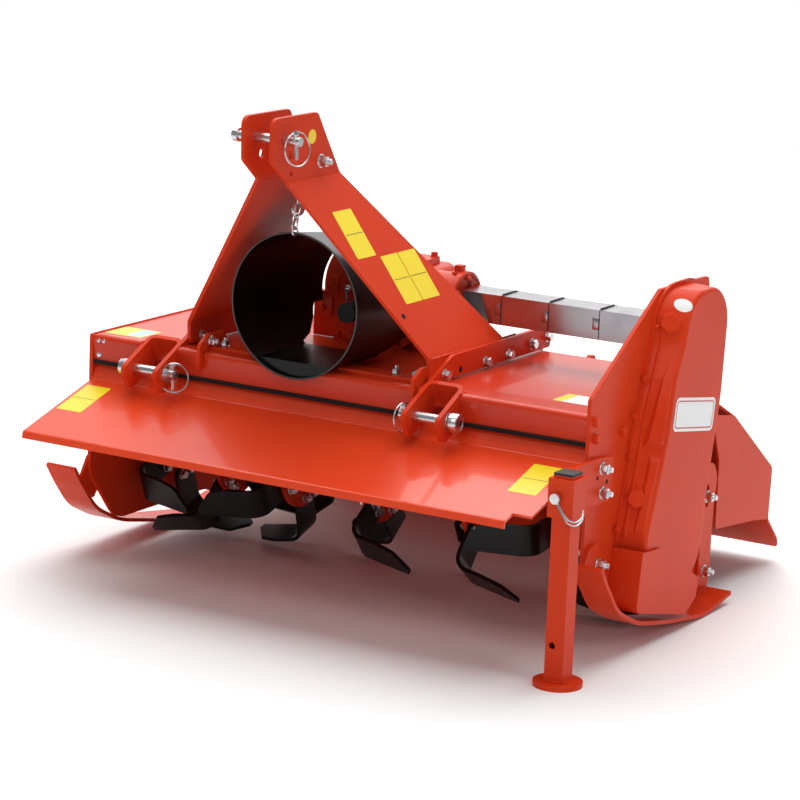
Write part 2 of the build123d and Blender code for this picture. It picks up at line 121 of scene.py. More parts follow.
def tint(nodes, links, shader, texture, low, high, spread):
    """Base colour that runs from low to high as the texture rises through spread around its middle."""
    node = nodes.new("ShaderNodeValToRGB")
    links.new(texture.outputs["Fac"], node.inputs["Fac"])
    stops = zip(node.color_ramp.elements, (0.5 - spread, 0.5 + spread), (low, high))
    for element, place, colour in stops:
        element.position = place
        element.color = (*colour, 1)
    links.new(node.outputs["Color"], shader.inputs["Base Color"])


def bump(nodes, links, shader, texture, strength, distance):
    node = nodes.new("ShaderNodeBump")
    node.inputs["Strength"].default_value = strength
    node.inputs["Distance"].default_value = distance
    links.new(texture.outputs["Fac"], node.inputs["Height"])
    links.new(node.outputs["Normal"], shader.inputs["Normal"])


def uneven_gloss(nodes, links, shader, texture, low, high):
    """Roughness that the texture moves between low and high."""
    node = nodes.new("ShaderNodeMapRange")
    node.inputs["To Min"].default_value = low
    node.inputs["To Max"].default_value = high
    links.new(texture.outputs["Fac"], node.inputs["Value"])
    links.new(node.outputs["Result"], shader.inputs["Roughness"])


def paint(name, light, dark, roughness=0.32, coat=0.06, specular=0.16):
    """Glossy machine paint: slightly uneven tone, faint orange peel, a clear wet top."""
    material, nodes, links, shader = new_material(name)
    tint(nodes, links, shader, noise(nodes, links, 3.0, 3.0), dark, light, 0.2)
    shader.inputs["Roughness"].default_value = roughness
    shader.inputs["Coat Weight"].default_value = coat
    shader.inputs["Coat Roughness"].default_value = 0.05
    shader.inputs["Specular IOR Level"].default_value = specular
    bump(nodes, links, shader, noise(nodes, links, 260.0, 2.0), 0.05, 0.001)
    return material


def metal(name, colour, roughness, scale=40.0, spread=0.12):
    """Bare or plated metal with a stained tone and gloss."""
    material, nodes, links, shader = new_material(name)
    shader.inputs["Metallic"].default_value = 1.0
    stain = noise(nodes, links, scale, 6.0, 0.6)
    tint(nodes, links, shader, stain, tuple(c * (1 - spread) for c in colour), colour, 0.2)
    uneven_gloss(nodes, links, shader, stain, roughness * 0.75, roughness * 1.3)
    bump(nodes, links, shader, stain, 0.08, 0.0005)
    return material


def plain(name, colour, roughness, coat=0.0, grain=300.0, strength=0.1, specular=0.5):
    """Even paint or plastic with a fine grain."""
    material, nodes, links, shader = new_material(name)
    shader.inputs["Specular IOR Level"].default_value = specular
    fine = noise(nodes, links, grain, 3.0)
    tint(nodes, links, shader, fine, tuple(c * 0.82 for c in colour), colour, 0.15)
    shader.inputs["Roughness"].default_value = roughness
    shader.inputs["Coat Weight"].default_value = coat
    shader.inputs["Coat Roughness"].default_value = 0.15
    bump(nodes, links, shader, fine, strength, 0.0004)
    return material


def film(name, colour):
    """Printed sticker film: one even colour, a gloss that varies a little."""
    material, nodes, links, shader = new_material(name)
    shader.inputs["Base Color"].default_value = (*colour, 1)
    uneven_gloss(nodes, links, shader, noise(nodes, links, 30.0, 2.0), 0.3, 0.4)
    return material


RED = paint("red_paint_gloss", (0.70, 0.052, 0.012), (0.63, 0.040, 0.009), specular=0.08)
# the deck and the front sheet get copies of the one machine red: the deck's a little darker as painted
# shade, the front sheet's lighter as painted light; their gloss and coat differ as well
RED_DECK_SHADED = paint("red_paint_deck_shaded", (0.66, 0.046, 0.012), (0.58, 0.036, 0.010), 0.28, 0.22, 0.2)
RED_SHEET_LIT = paint("red_paint_sheet_lit", (0.84, 0.066, 0.015), (0.76, 0.052, 0.012), 0.3, 0.3, 0.35)
RED_CAST = paint("red_paint_cast", (0.66, 0.044, 0.013), (0.56, 0.032, 0.010), 0.4, 0.15)
BLACK_STEEL = plain("black_blade_paint", (0.0035, 0.0055, 0.006), 0.36, 0.03, 120.0, 0.2, 0.3)
GUARD_BLACK = plain("black_guard_plastic", (0.0016, 0.002, 0.0022), 0.3, 0.0, 500.0, 0.05, 0.3)
CAP_BLACK = plain("black_cap_plastic", (0.012, 0.014, 0.016), 0.55, 0.0, 500.0, 0.15)
RIM_GREY = plain("guard_rim_edge", (0.07, 0.075, 0.08), 0.4)
ZINC = metal("zinc_plate", (0.72, 0.73, 0.75), 0.26)
GALVANISED = metal("galvanised_sheet", (0.50, 0.48, 0.51), 0.2, 22.0, 0.25)
STEEL = metal("machined_steel", (0.42, 0.42, 0.43), 0.35)
YELLOW = film("sticker_yellow", (0.92, 0.72, 0.012))
WHITE = film("sticker_white", (0.86, 0.88, 0.87))
THIN_RED = film("sticker_red_line", (0.55, 0.02, 0.015))
DARK_LINE = film("sticker_dark_line", (0.05, 0.04, 0.012))
# near-black paint for painted shade: the hole discs, the shaft cover's slits, the shadow beside its tabs and
# the strip in the gap under the deck's front edge
PAINTED_SHADE_BLACK = plain("painted_shade", (0.004, 0.003, 0.003), 0.9)
BLUE = film("sticker_pale_blue", (0.42, 0.66, 0.80))

SLOT_LOOK = {
    "red_paint": RED, "zinc": ZINC, "galvanised": GALVANISED, "black_steel": BLACK_STEEL,
    "black_plastic": CAP_BLACK, "steel": STEEL,
}
NODE_LOOK = {
    "gearbox": RED_CAST, "rotor_bearing": RED_CAST, "pto_guard": GUARD_BLACK,
    "deck": RED_DECK_SHADED, "front_guard": RED_SHEET_LIT,
}
EDGE_WIDTH = 0.9 / MM
EDGE_ANGLE = math.radians(40)
slot_of = {row["node"]: row["material_slot"] for row in frame["record"]["subparts"]}
for node, obj in frame["nodes"].items():
    obj.data.materials.clear()
    obj.data.materials.append(NODE_LOOK.get(node, SLOT_LOOK[slot_of[node]]))
    edge = obj.modifiers.new("soft_edges", "BEVEL")
    edge.width = EDGE_WIDTH
    edge.segments = 2
    edge.limit_method = "ANGLE"
    edge.angle_limit = EDGE_ANGLE
    edge.harden_normals = False

# ------------------------------------------------------------ mesh tools
rng = random.Random(1207)
bins = {}
trees = {}


def bin_mesh(piece, body, material, slot=None):
    """The bmesh that collects one piece; it becomes an object at the end."""
    if piece not in bins:
        bins[piece] = (bmesh.new(), body, material, slot)
    return bins[piece][0]


def side_axes(axis):
    """The axis and two directions square to it."""
    axis = Vector(axis).normalized()
    helper = Vector((0, 0, 1)) if abs(axis.z) < 0.9 else Vector((1, 0, 0))
    u = axis.cross(helper).normalized()
    return axis, u, axis.cross(u)


def lathe(bm, base, axis, profile, seg=20, turn=0.0):
    """Turns (radius, height) rows, in mm, around an axis that starts at base."""
    axis, u, v = side_axes(axis)
    rings = []
    for radius, height in profile:
        if radius <= 0:
            rings.append([bm.verts.new(base + axis * height / MM)])
            continue
        row = []
        for i in range(seg):
            a = turn + math.tau * i / seg
            side = (u * math.cos(a) + v * math.sin(a)) * radius / MM
            row.append(bm.verts.new(base + side + axis * height / MM))
        rings.append(row)
    for low, high in zip(rings, rings[1:]):
        for i in range(seg):
            j = (i + 1) % seg
            quad = [low[i % len(low)], low[j % len(low)], high[j % len(high)], high[i % len(high)]]
            corners = list(dict.fromkeys(quad))
            if len(corners) > 2:
                bm.faces.new(corners)


def tube(bm, points, radius, seg=10, closed=False, ripple=0.0):
    """Round wire of radius mm through scene points; ripple is the share its radius wavers by."""
    count = len(points)
    rings = []
    normal = None
    for i, point in enumerate(points):
        before = points[i - 1] if closed or i else point
        after = points[(i + 1) % count] if closed or i < count - 1 else point
        tangent = (after - before).normalized()
        if normal is None:
            _, normal, _ = side_axes(tangent)
        normal = (normal - tangent * normal.dot(tangent)).normalized()
        side = tangent.cross(normal)
        r = radius / MM * (1 + ripple * (rng.random() - 0.5))
        turns = [math.tau * k / seg for k in range(seg)]
        rings.append([bm.verts.new(point + (normal * math.cos(a) + side * math.sin(a)) * r) for a in turns])
    spans = zip(rings, rings[1:] + rings[:1]) if closed else zip(rings, rings[1:])
    for low, high in spans:
        for k in range(seg):
            m = (k + 1) % seg
            bm.faces.new([low[k], low[m], high[m], high[k]])
    if not closed:
        bm.faces.new(rings[0][::-1])
        bm.faces.new(rings[-1])


def smooth_path(points, steps=8):
    """Catmull-Rom curve through the points, open at its ends."""
    last = len(points) - 1
    out = []
    for i in range(last):
        p = [points[max(0, min(last, i + k - 1))] for k in range(4)]
        for s in range(steps):
            t = s / steps
            out.append(0.5 * (
                2 * p[1] + (p[2] - p[0]) * t
                + (2 * p[0] - 5 * p[1] + 4 * p[2] - p[3]) * t ** 2
                + (3 * p[1] - p[0] - 3 * p[2] + p[3]) * t ** 3
            ))
    out.append(points[-1])
    return out


def ring(bm, centre, axis, radius, wire, seg=36):
    """A closed wire ring, radius and wire in mm."""
    _, u, v = side_axes(axis)
    turns = [math.tau * i / seg for i in range(seg)]
    points = [centre + (u * math.cos(a) + v * math.sin(a)) * radius / MM for a in turns]
    tube(bm, points, wire, 8, closed=True)


def box_mesh(bm, low, high, bevel=1.0):
    """Bevelled box between two drawing corners."""
    made = bmesh.ops.create_cube(bm, size=1.0)
    a, b = at(*low), at(*high)
    for vert in made["verts"]:
        vert.co = Vector(((a[k] + b[k]) / 2 + vert.co[k] * (b[k] - a[k]) for k in range(3)))
    edges = list(dict.fromkeys(e for v in made["verts"] for e in v.link_edges))
    bmesh.ops.bevel(bm, geom=edges, offset=bevel / MM, segments=2, affect="EDGES", profile=0.6)


def hex_head(bm, base, axis, flats, height, turn=0.0):
    """Hexagon with the rounded chamfer of a bolt head; flats is the width across flats in mm."""
    r = flats / math.sqrt(3)
    chamfer = [(r, height * 0.82), (r * 0.93, height), (flats * 0.36, height)]
    lathe(bm, base, axis, [(r, 0), *chamfer, (0, height * 0.97)], 6, turn)


# a bolt's other measures as shares of its width across flats, and its washer and thread in mm
HEAD_HEIGHT, WASHER_RADIUS, STUD_RADIUS = 0.62, 0.68, 0.31
WASHER_T, THREAD_PITCH = 2.1, 1.6


def bolt(piece, body, place, axis, flats=17.0, stud=0.0, material=None, washer=True):
    """Head, or nut with a threaded stud standing out of it by stud mm; zinc if no material is named."""
    bm = bin_mesh(piece, body, material or ZINC, "zinc" if material is None else None)
    base = at(*place)
    direction = Vector(axis).normalized()
    lift = 0.0
    if washer:
        r = flats * WASHER_RADIUS
        lathe(bm, base, axis, [(r, 0), (r, 1.5), (r - 0.6, WASHER_T), (0, WASHER_T)], 24)
        lift = WASHER_T
    hex_head(bm, base + direction * lift / MM, axis, flats, flats * HEAD_HEIGHT, rng.random())
    if stud:
        r = flats * STUD_RADIUS
        rows = []
        h = flats * 0.6
        while h < flats * HEAD_HEIGHT + stud - 2:
            rows += [(r, h), (r * 0.88, h + THREAD_PITCH / 2)]
            h += THREAD_PITCH
        rows += [(r, h), (r * 0.82, h + THREAD_PITCH), (0, h + THREAD_PITCH)]
        lathe(bm, base + direction * lift / MM, axis, rows, 16)


def weld(piece, body, start, end, radius=2.6):
    """Painted welding bead between two drawing points: a rope whose thickness wavers."""
    bm = bin_mesh(piece, body, RED, "red_paint")
    a, b = at(*start), at(*end)
    count = max(3, int((b - a).length / 0.0032))
    points = [a.lerp(b, i / count) for i in range(count + 1)]
    tube(bm, points, radius, 8, ripple=0.28)


def painted_shade(piece, place, axis, radius, seg, lift=0.1, rim=0.2):
    """Drilled hole seen from outside: a near-black disc of painted shade, standing for the shaded inside of
    the hole, that stands lift mm off the plate.
    """
    bm = bin_mesh(piece, "frame", PAINTED_SHADE_BLACK)
    lathe(bm, at(*place), axis, [(radius, lift), (radius - rim, 0.3), (0, 0.25)], seg)


def surface(node):
    """Search tree of a CAD node's mesh, which lies in the scene's own frame."""
    if node not in trees:
        data = frame["nodes"][node].data
        points = [v.co for v in data.vertices]
        trees[node] = BVHTree.FromPolygons(points, [tuple(p.vertices) for p in data.polygons])
    return trees[node]


def rounded(width, height, corner, steps=6):
    """Outline of a rounded rectangle around 0, 0, in mm."""
    out = []
    for cx, cy, first in ((1, 1, 0), (-1, 1, 90), (-1, -1, 180), (1, -1, 270)):
        for k in range(steps + 1):
            a = math.radians(first + 90 * k / steps)
            out.append((cx * (width / 2 - corner) + corner * math.cos(a),
                        cy * (height / 2 - corner) + corner * math.sin(a)))
    return out


def oval(rx, ry, count=36):
    """Outline of an ellipse around 0, 0, in mm."""
    turns = [math.tau * k / count for k in range(count)]
    return [(rx * math.cos(a), ry * math.sin(a)) for a in turns]


def thin_line(half_length, half_width):
    """Outline of a plain line across a sticker, in mm."""
    signs = ((-1, 1), (1, 1), (1, -1), (-1, -1))
    return [(half_length * sx, half_width * sy) for sx, sy in signs]


def decal(piece, node, centre, normal, up, outline, material, lift=0.35, hole=None):
    """Thin film dropped on a node's surface: outline in mm, hole a second outline inside it."""
    normal = Vector(normal).normalized()
    up = (Vector(up) - normal * Vector(up).dot(normal)).normalized()
    right = up.cross(normal)
    origin = at(*centre)
    bm = bin_mesh(piece, "frame", material)
    reach = 60

    def drop(x, y):
        start = origin + (right * x + up * y + normal * reach) / MM
        hit, hit_normal, _, _ = surface(node).ray_cast(start, -normal)
        if hit is None:
            hit, hit_normal = start - normal * reach / MM, normal
        if hit_normal.dot(normal) < 0:
            hit_normal = -hit_normal
        return bm.verts.new(hit + hit_normal * lift / MM)

    count = len(outline)
    if hole:
        loops = [[drop(x, y) for x, y in outline], [drop(x, y) for x, y in hole]]
    else:
        loops = [[drop(x * k / 5, y * k / 5) for x, y in outline] for k in (5, 4, 3, 2, 1)]
    faces = []
    for outer, inner in zip(loops, loops[1:]):
        for i in range(count):
            j = (i + 1) % count
            faces.append(bm.faces.new([outer[i], outer[j], inner[j], inner[i]]))
    if not hole:
        faces.append(bm.faces.new(loops[-1]))
    bmesh.ops.recalc_face_normals(bm, faces=faces)


def on_flare(down, y):
    """Point of the right tower plate's flare, down mm from its upper fold."""
    return (FLARE_TOP_X + SLOPE.x * down, y, FLARE_TOP_Z + SLOPE.z * down)


def flare_label(piece, down0, down1, y0, y1):
    """Blank yellow sticker on the flare, with the plain line across its middle."""
    centre = on_flare((down0 + down1) / 2, (y0 + y1) / 2)
    high, wide = down1 - down0, y1 - y0
    place = ("right_tower_plate", centre, FLARE_NORMAL, -SLOPE)
    decal(piece, *place, rounded(wide, high, 2.5), YELLOW)
    decal(piece + "_line", *place, thin_line(wide / 2 - 3, 0.6), DARK_LINE, 0.6)


def linch(piece, place, tilt, ring_axis, ring_centre, ring_radius):
    """Tapered pin through the end of a hitch pin, with a square head and a snap ring."""
    bm = bin_mesh(piece, "frame", ZINC, "zinc")
    axis = Vector(tilt).normalized()
    top = at(*place) + axis * 0.020
    shank = [(0, 0), (5.2, 0), (5.6, 1), (5.6, 8), (4.6, 10), (4.4, 46), (3.0, 56), (0, 57)]
    head = [(7.4, -9), (7.6, -8), (7.6, -1), (7.0, 0), (0, 0)]
    lathe(bm, top, -axis, shank, 14)
    lathe(bm, top + axis * 0.0005, axis, head, 4, 0.8)
    ring(bm, at(*ring_centre), ring_axis, ring_radius, 1.9)


def case_point(start, direction):
    """First point of the chain case along a line, and its normal turned back towards the start."""
    direction = Vector(direction).normalized()
    hit, normal, _, _ = surface("chain_case").ray_cast(at(*start), direction)
    if normal.dot(direction) > 0:
        normal = -normal
    return hit, normal


def plug(start, direction, flats, height):
    """Large hexagon plug on a round boss of the chain case."""
    hit, normal = case_point(start, direction)
    bm = bin_mesh("case_plugs", "frame", RED, "red_paint")
    boss = [(flats * 0.62, 0), (flats * 0.62, 3.2), (flats * 0.56, 4.4), (0, 4.4)]
    lathe(bm, hit - normal * 0.002, normal, boss, 28)
    hex_head(bm, hit + normal * 0.002, normal, flats, height, 0.3)


def smooth_step(t):
    t = max(0.0, min(1.0, t))
    return t * t * (3 - 2 * t)


def pressed_pad(piece, z_top, z_low, left_top, left_low, right, height, rise, fall):
    """Raised field of the case's front wall; rise and fall are its run-outs at the top and the foot."""
    bm = bin_mesh(piece, "frame", RED, "red_paint")
    rows, columns = 48, 16
    sink = 0.8
    grid = []
    for i in range(rows + 1):
        z = z_top + (z_low - z_top) * i / rows
        left = left_top + (left_low - left_top) * i / rows
        line = []
        for j in range(columns + 1):
            x = left + (right - left) * j / columns
            edge = min(smooth_step((z_top - z) / rise), smooth_step((z - z_low) / fall),
                       smooth_step((x - left) / 7), smooth_step((right - x) / 5))
            hit, normal = case_point((x, 20, z), (0, 1, 0))
            line.append(bm.verts.new(hit + normal * (height * edge - sink) / MM))
        grid.append(line)
    for low, high in zip(grid, grid[1:]):
        for a, b, c, d in zip(low, low[1:], high[1:], high):
            bm.faces.new((a, b, c, d))


# ------------------------------------------------------------ stickers, all of them blank
# piece, then its upper and lower edge down the flare, then its front and rear edge
for row in (
    ("tower_label_upper", 82, 190, 15, 84),
    ("tower_label_left", 195, 305, 94, 158),
    ("tower_label_right", 195, 305, 160, 226),
):
    flare_label(*row)
decal("tower_round_sticker", "right_tower_plate", (TOWER_OUTER_X, 9, 966), (1, 0, 0), (0, 0, 1),
      oval(14.5, 14.5), YELLOW)
for piece, x, y in (("guard_label_left", -468, -45), ("guard_label_right", 601, -47)):
    place = ("front_guard", (x, y, 370), SHEET_NORMAL, SHEET_UP)
    decal(piece, *place, rounded(62, 112, 3), YELLOW)
    decal(piece + "_line", *place, thin_line(28, 0.7), DARK_LINE, 0.6)
for piece, x, y, outline, colour, lift in (
    ("deck_label_right", 590, 149, rounded(90, 72, 3), WHITE, 0.35),
    ("deck_label_right_edge", 556, 149, rounded(20, 70, 2), YELLOW, 0.6),
    ("deck_label_left", -452, 104, rounded(92, 80, 3), YELLOW, 0.35),
    ("deck_label_left_field", -430, 104, rounded(38, 70, 12), BLUE, 0.6),
):
    decal(piece, "deck", (x, y, DECK_TOP), (0, 0, 1), (0, 1, 0), outline, colour, lift)
place = ("chain_case", (CASE_OUTER_X, 368, 446), (1, 0, 0), (0, 0.163, 1))
decal("case_plate", *place, rounded(186, 68, 13), WHITE, 0.5)
decal("case_plate_line", *place, rounded(174, 56, 9), THIN_RED, 0.8, hole=rounded(169, 51, 7))
decal("case_oval_sticker", "chain_case", (714, 326, 671), (0.33, -0.69, 0.65), (0.1, 0.55, 0.8),
      oval(19, 14.5), WHITE, 0.5)

# ------------------------------------------------------------ hitch pins
# piece, top of its hole, tilt of the pin, axis of the ring, middle of the ring, ring radius
LINCH_PINS = [
    ("upper_linch_pin", (64, TOP_PIN_Y, TOP_PIN_Z), (-0.15, 0.1, 1),
     (1, -0.25, 0.1), (66, TOP_PIN_Y + 4, TOP_PIN_Z - 16), 33),
    ("left_linch_pin", (-277, 0, LOW_PIN_Z), (0.02, -0.05, 1),
     (0.5, -0.84, 0.2), (-277, 4, LOW_PIN_Z - 8), 30),
    ("right_linch_pin", (277, 0, LOW_PIN_Z), (0.02, -0.05, 1),
     (1, -0.2, 0.1), (277, 2, LOW_PIN_Z - 8), 30),
]
for row in LINCH_PINS:
    linch(*row)

# washers at the ears of both clevises, a hollow collar on the right pin, a plain one on the left
WASHER = [(11.2, 0), (19, 0), (19, 2.4), (18.4, 3), (11.2, 3)]
COLLAR = [(17.1, 0), (19.2, 1), (19.2, 15), (17.6, 17.4), (13.5, 18.4), (12.5, 18.4), (12, 17), (0, 17)]
PIN_END = [(17.1, 0), (18.4, 1), (18.4, 14), (16.6, 17), (0, 18)]
bm = bin_mesh("hitch_washers", "frame", ZINC, "zinc")
for x, direction in ((CLEVIS_OUTER_X, 1), (-CLEVIS_OUTER_X, -1), (CLEVIS_INNER_X, -1), (-CLEVIS_INNER_X, 1)):
    lathe(bm, at(x, 0, LOW_PIN_Z), (direction, 0, 0), WASHER, 32)
bm = bin_mesh("hitch_pin_collar", "frame", ZINC, "zinc")
lathe(bm, at(CLEVIS_OUTER_X + 6, 0, LOW_PIN_Z), (1, 0, 0), COLLAR, 36)
lathe(bm, at(-CLEVIS_OUTER_X - 6, 0, LOW_PIN_Z), (-1, 0, 0), PIN_END, 36)

# ------------------------------------------------------------ tower, rails and crossbar
bolt("tower_bolt", "frame", (TOWER_OUTER_X, TOWER_BOLT_Y, TOWER_BOLT_Z), (1, 0, 0), 21, 10)
bolt("tower_bolt", "frame", (-TOWER_OUTER_X, TOWER_BOLT_Y, TOWER_BOLT_Z), (-1, 0, 0), 19, 6)
bm = bin_mesh("tower_cross_bolt", "frame", ZINC, "zinc")
between = 2 * TOWER_INNER_X
lathe(bm, at(-TOWER_INNER_X, TOWER_BOLT_Y, TOWER_BOLT_Z), (1, 0, 0),
      [(0, 0), (6, 0), (6, between), (0, between)], 18)
for side in (-1, 1):
    # y and z of each bolt, and the x of the face that its nut bears on
    for y, z, nut_x in ((112, 507, 284), (277, 507, 284), (372, 507, 284), (472, 514, 292), (541, 519, 292)):
        bolt("rail_bolts", "frame", (side * RAIL_OUTER_X, y, z), (side, 0, 0), 17)
        bolt("rail_nuts", "frame", (side * nut_x, y, z), (-side, 0, 0), 17, 5)
    # a near-black disc of painted shade stands for the open rail hole
    painted_shade("rail_holes", (side * RAIL_OUTER_X, 176, RAIL_BOLT_Z), (side, 0, 0), 6.5, 20, 0.15)
for x in (-206, 206):
    bolt("crossbar_bolts", "frame", (x, 84, BAR_TOP), (0, 0, 1), 15, 6)
for x, direction in ((-226, 1), (276, -1)):
    bolt("foot_plate_bolts", "frame", (x, 62, 510), (direction, 0, 0), 17, 6)
# a near-black disc of painted shade stands for the open hole in the flare
painted_shade("flare_hole", on_flare(327, 62), FLARE_NORMAL, 6.2, 24, rim=0.4)

# ------------------------------------------------------------ guard: its chain, rim and screws
# ends of the links, from the tower bolt down to the guard's edge
LINK_ENDS = [(0, 44, 907), (0, 42, 881), (0, 36, 854), (0, 28, 828), (0, 18, 803), (0, 12, 778)]
LINK_WIDTH, LINK_WIRE, LINK_SEG = 0.0085, 2.4, 20
ACROSS = Vector((1, 0, 0))
bm = bin_mesh("guard_chain", "frame", ZINC, "zinc")
for i, (start, end) in enumerate(zip(LINK_ENDS, LINK_ENDS[1:])):
    a, b = at(*start), at(*end)
    axis = (b - a).normalized()
    side = ACROSS if i % 2 else axis.cross(ACROSS).normalized()
    half = (b - a).length / 2 + 0.0025
    loop = []
    for k in range(LINK_SEG):
        t = math.tau * k / LINK_SEG
        shift = math.copysign(half - LINK_WIDTH, math.cos(t)) * min(1, abs(math.cos(t)) * 4)
        along = math.cos(t) * LINK_WIDTH + shift
        loop.append((a + b) / 2 + axis * along + side * math.sin(t) * LINK_WIDTH)
    tube(bm, loop, LINK_WIRE, 8, closed=True)
ring(bm, at(0, 24, 816), (1, -0.6, 0.2), 12, 3.2, 28)
ring(bm, at(0, 16, 771), (1, 0, 0.2), 9, 2.2, 24)

bm = bin_mesh("guard_rim", "frame", RIM_GREY)
ring(bm, at(0, GUARD_MOUTH_Y, GUARD_MOUTH_Z), (0, 1, 0), GUARD_MOUTH_R, 1.6, 96)
for x in (-124, 124):
    bolt("guard_screws", "frame", (x, GUARD_BACK_Y, 556), (0, -1, 0), 13, material=RED_CAST)

# ------------------------------------------------------------ gearbox
SIXTHS = [math.tau * (k + 0.5) / 6 for k in range(6)]
for a in SIXTHS:
    place = (112 * math.sin(a), GEARBOX_FRONT_Y, DISC_Z + 112 * math.cos(a))
    bolt("gearbox_bolts", "frame", place, (0, -1, 0), 13, material=RED_CAST)
for x in (-52, 52):
    for y in (390, 486):
        bolt("gearbox_bolts", "frame", (x, y, GEARBOX_TOP_Z), (0, 0, 1), 13, material=RED_CAST)
bm = bin_mesh("gearbox_fittings", "frame", RED_CAST, "red_paint")
# filler plug on the side drive, breather on the box, cover of the side drive, seal of the stub
lathe(bm, at(170, DRIVE_Y, 656), (0, 0, 1), [(17, 0), (17, 4), (15.5, 6), (0, 6)], 28)
box_mesh(bm, (161, 381, 660), (179, 399, 676), 1.6)
lathe(bm, at(0, 438, 664), (0, 0, 1), [(13, 0), (13, 5), (9, 8), (9, 15), (7, 17), (0, 17)], 24)
lathe(bm, at(DRIVE_X, DRIVE_Y, DRIVE_Z), (1, 0, 0), [(58, -14), (64, -13), (64, -2), (62, 0), (0, 0)], 48)
lathe(bm, at(0, 325, 576), (0, -1, 0), [(46, -6), (46, 0), (44, 2), (30, 2), (29, -1), (0, -1)], 48)
for a in SIXTHS:
    # face, direction and bolt circle radius of the two side covers
    for x, direction, r in ((DRIVE_X, 1, 50), (GEARBOX_LEFT_X, -1, 44)):
        place = (x, DRIVE_Y + r * math.cos(a), DRIVE_Z + r * math.sin(a))
        bolt("gearbox_bolts", "frame", place, (direction, 0, 0), 10, material=RED_CAST, washer=False)
for x in (-102, 102):
    for y in (376, 506):
        bolt("gearbox_foot_bolts", "frame", (x, y, GEARBOX_FOOT_Z), (0, 0, 1), 17, 7)
bm = bin_mesh("gearbox_stand_plates", "frame", RED_CAST, "red_paint")
for x0, x1 in ((-156, -92), (92, 156)):
    box_mesh(bm, (x0, 344, 492), (x1, 351, 572), 1.5)
# bright clip beside the input shaft
bm = bin_mesh("coupling_clip", "frame", ZINC, "zinc")
tube(bm, smooth_path([at(-58, 330, 606), at(-60, 318, 602), at(-56, 314, 588), at(-52, 318, 568)]), 3.4, 10)
lathe(bm, at(-62, 340, 604), (0, -1, 0), [(9, 0), (9, 14), (7, 17), (0, 17)], 18)

# ------------------------------------------------------------ painted shadow strip and shaft cover
# black strip that fills the gap between the deck's front edge and the front sheet: painted shadow for the
# shade in that gap
bm = bin_mesh("guard_gap_painted_shadow", "frame", PAINTED_SHADE_BLACK, "black_plastic")
for x0, x1 in ((-506, -382), (-290, 290), (382, 662)):
    box_mesh(bm, (x0, 37, 428), (x1, 42, 436), 0.6)

# three slits of the shaft cover, each with a fold on the top and a bent tab on the front; the slits are
# near-black boxes of painted shade, and the near-black strips beside each tab are its painted shadow
for x in (292, 402, 518):
    tab_low, tab_high = COVER_TOP - 40, COVER_TOP - 18
    bm = bin_mesh("cover_slits", "frame", PAINTED_SHADE_BLACK)
    box_mesh(bm, (x - 0.9, COVER_Y - 0.25, COVER_LOW + 2), (x + 0.9, COVER_Y + 0.3, COVER_TOP), 0.1)
    box_mesh(bm, (x - 0.9, COVER_Y, COVER_TOP - 0.3), (x + 0.9, COVER_BACK, COVER_TOP + 0.25), 0.1)
    bm = bin_mesh("cover_tabs", "frame", GALVANISED, "galvanised")
    box_mesh(bm, (x - 3.2, COVER_Y + 8, COVER_TOP + 0.1), (x - 1.2, COVER_BACK - 8, COVER_TOP + 3.6), 0.3)
    box_mesh(bm, (x - 14, COVER_Y - 1.6, tab_low), (x - 1.2, COVER_Y - 0.1, tab_high), 0.5)
    bm = bin_mesh("cover_tab_shade", "frame", PAINTED_SHADE_BLACK)
    for x0, x1, z1 in ((x - 15, x - 14.2, tab_high + 1), (x - 15, x - 1, tab_low - 0.2)):
        box_mesh(bm, (x0, COVER_Y - 0.5, tab_low - 1), (x1, COVER_Y + 0.2, z1), 0.05)

# ------------------------------------------------------------ side plates, skids and bearing
for y, z in ((168, 437), (52, 477), (56, 443)):
    bolt("plate_bolts", "frame", (RIGHT_PLATE_X, y, z), (1, 0, 0), 17, material=RED, washer=False)
bm = bin_mesh("deck_face_rivets", "frame", ZINC, "zinc")
for x, y, z, r in ((-494, 41.2, 449, 7), (-492, 36.6, 479, 4.5), (-479, 36.6, 479, 4.5)):
    lathe(bm, at(x, y, z), (0, -1, 0.1), [(r, 0), (r * 0.9, 1.6), (r * 0.5, 2.6), (0, 2.9)], 18)
# near-black discs of painted shade stand for the bracket's open holes
for y, z in ((57, 366), (98, 352)):
    painted_shade("bracket_holes", (BRACKET_X, y, z), (1, 0, 0), 4.6, 18)
for y, z in ((75, 382), (79, 333)):
    bolt("bracket_bolts", "frame", (BRACKET_X, y, z), (1, 0, 0), 19, 9)
for y, z in ((84, 188), (570, 228), (575, 67)):
    bolt("skid_bolts_right", "frame", (SKID_RIGHT_X, y, z), (1, 0, 0), 19, 9)
    bolt("skid_bolts_left", "frame", (SKID_LEFT_X, y, z), (-1, 0, 0), 19, 9)
for y, z in ((99, 300), (99, 440), (440, 440), (440, 300)):
    bolt("left_plate_bolts", "frame", (LEFT_PLATE_X, y, z), (-1, 0, 0), 17)
for k in range(6):
    a = math.tau * (k + 0.3) / 6
    place = (BEARING_X, ROTOR_Y + 44 * math.cos(a), ROTOR_Z + 44 * math.sin(a))
    bolt("bearing_bolts", "frame", place, (-1, 0, 0), 13)
bm = bin_mesh("bearing_cap", "frame", RED_CAST, "red_paint")
lathe(bm, at(BEARING_X, ROTOR_Y, ROTOR_Z), (-1, 0, 0),
      [(30, -1), (30, 3), (27, 6), (9, 7), (8, 5), (0, 5)], 40)

# ------------------------------------------------------------ chain case
plug((721, 257, 652), (-20, 43, -15), 36, 11)
plug((717, 152, 314), (-16, 45, -14), 34, 11)
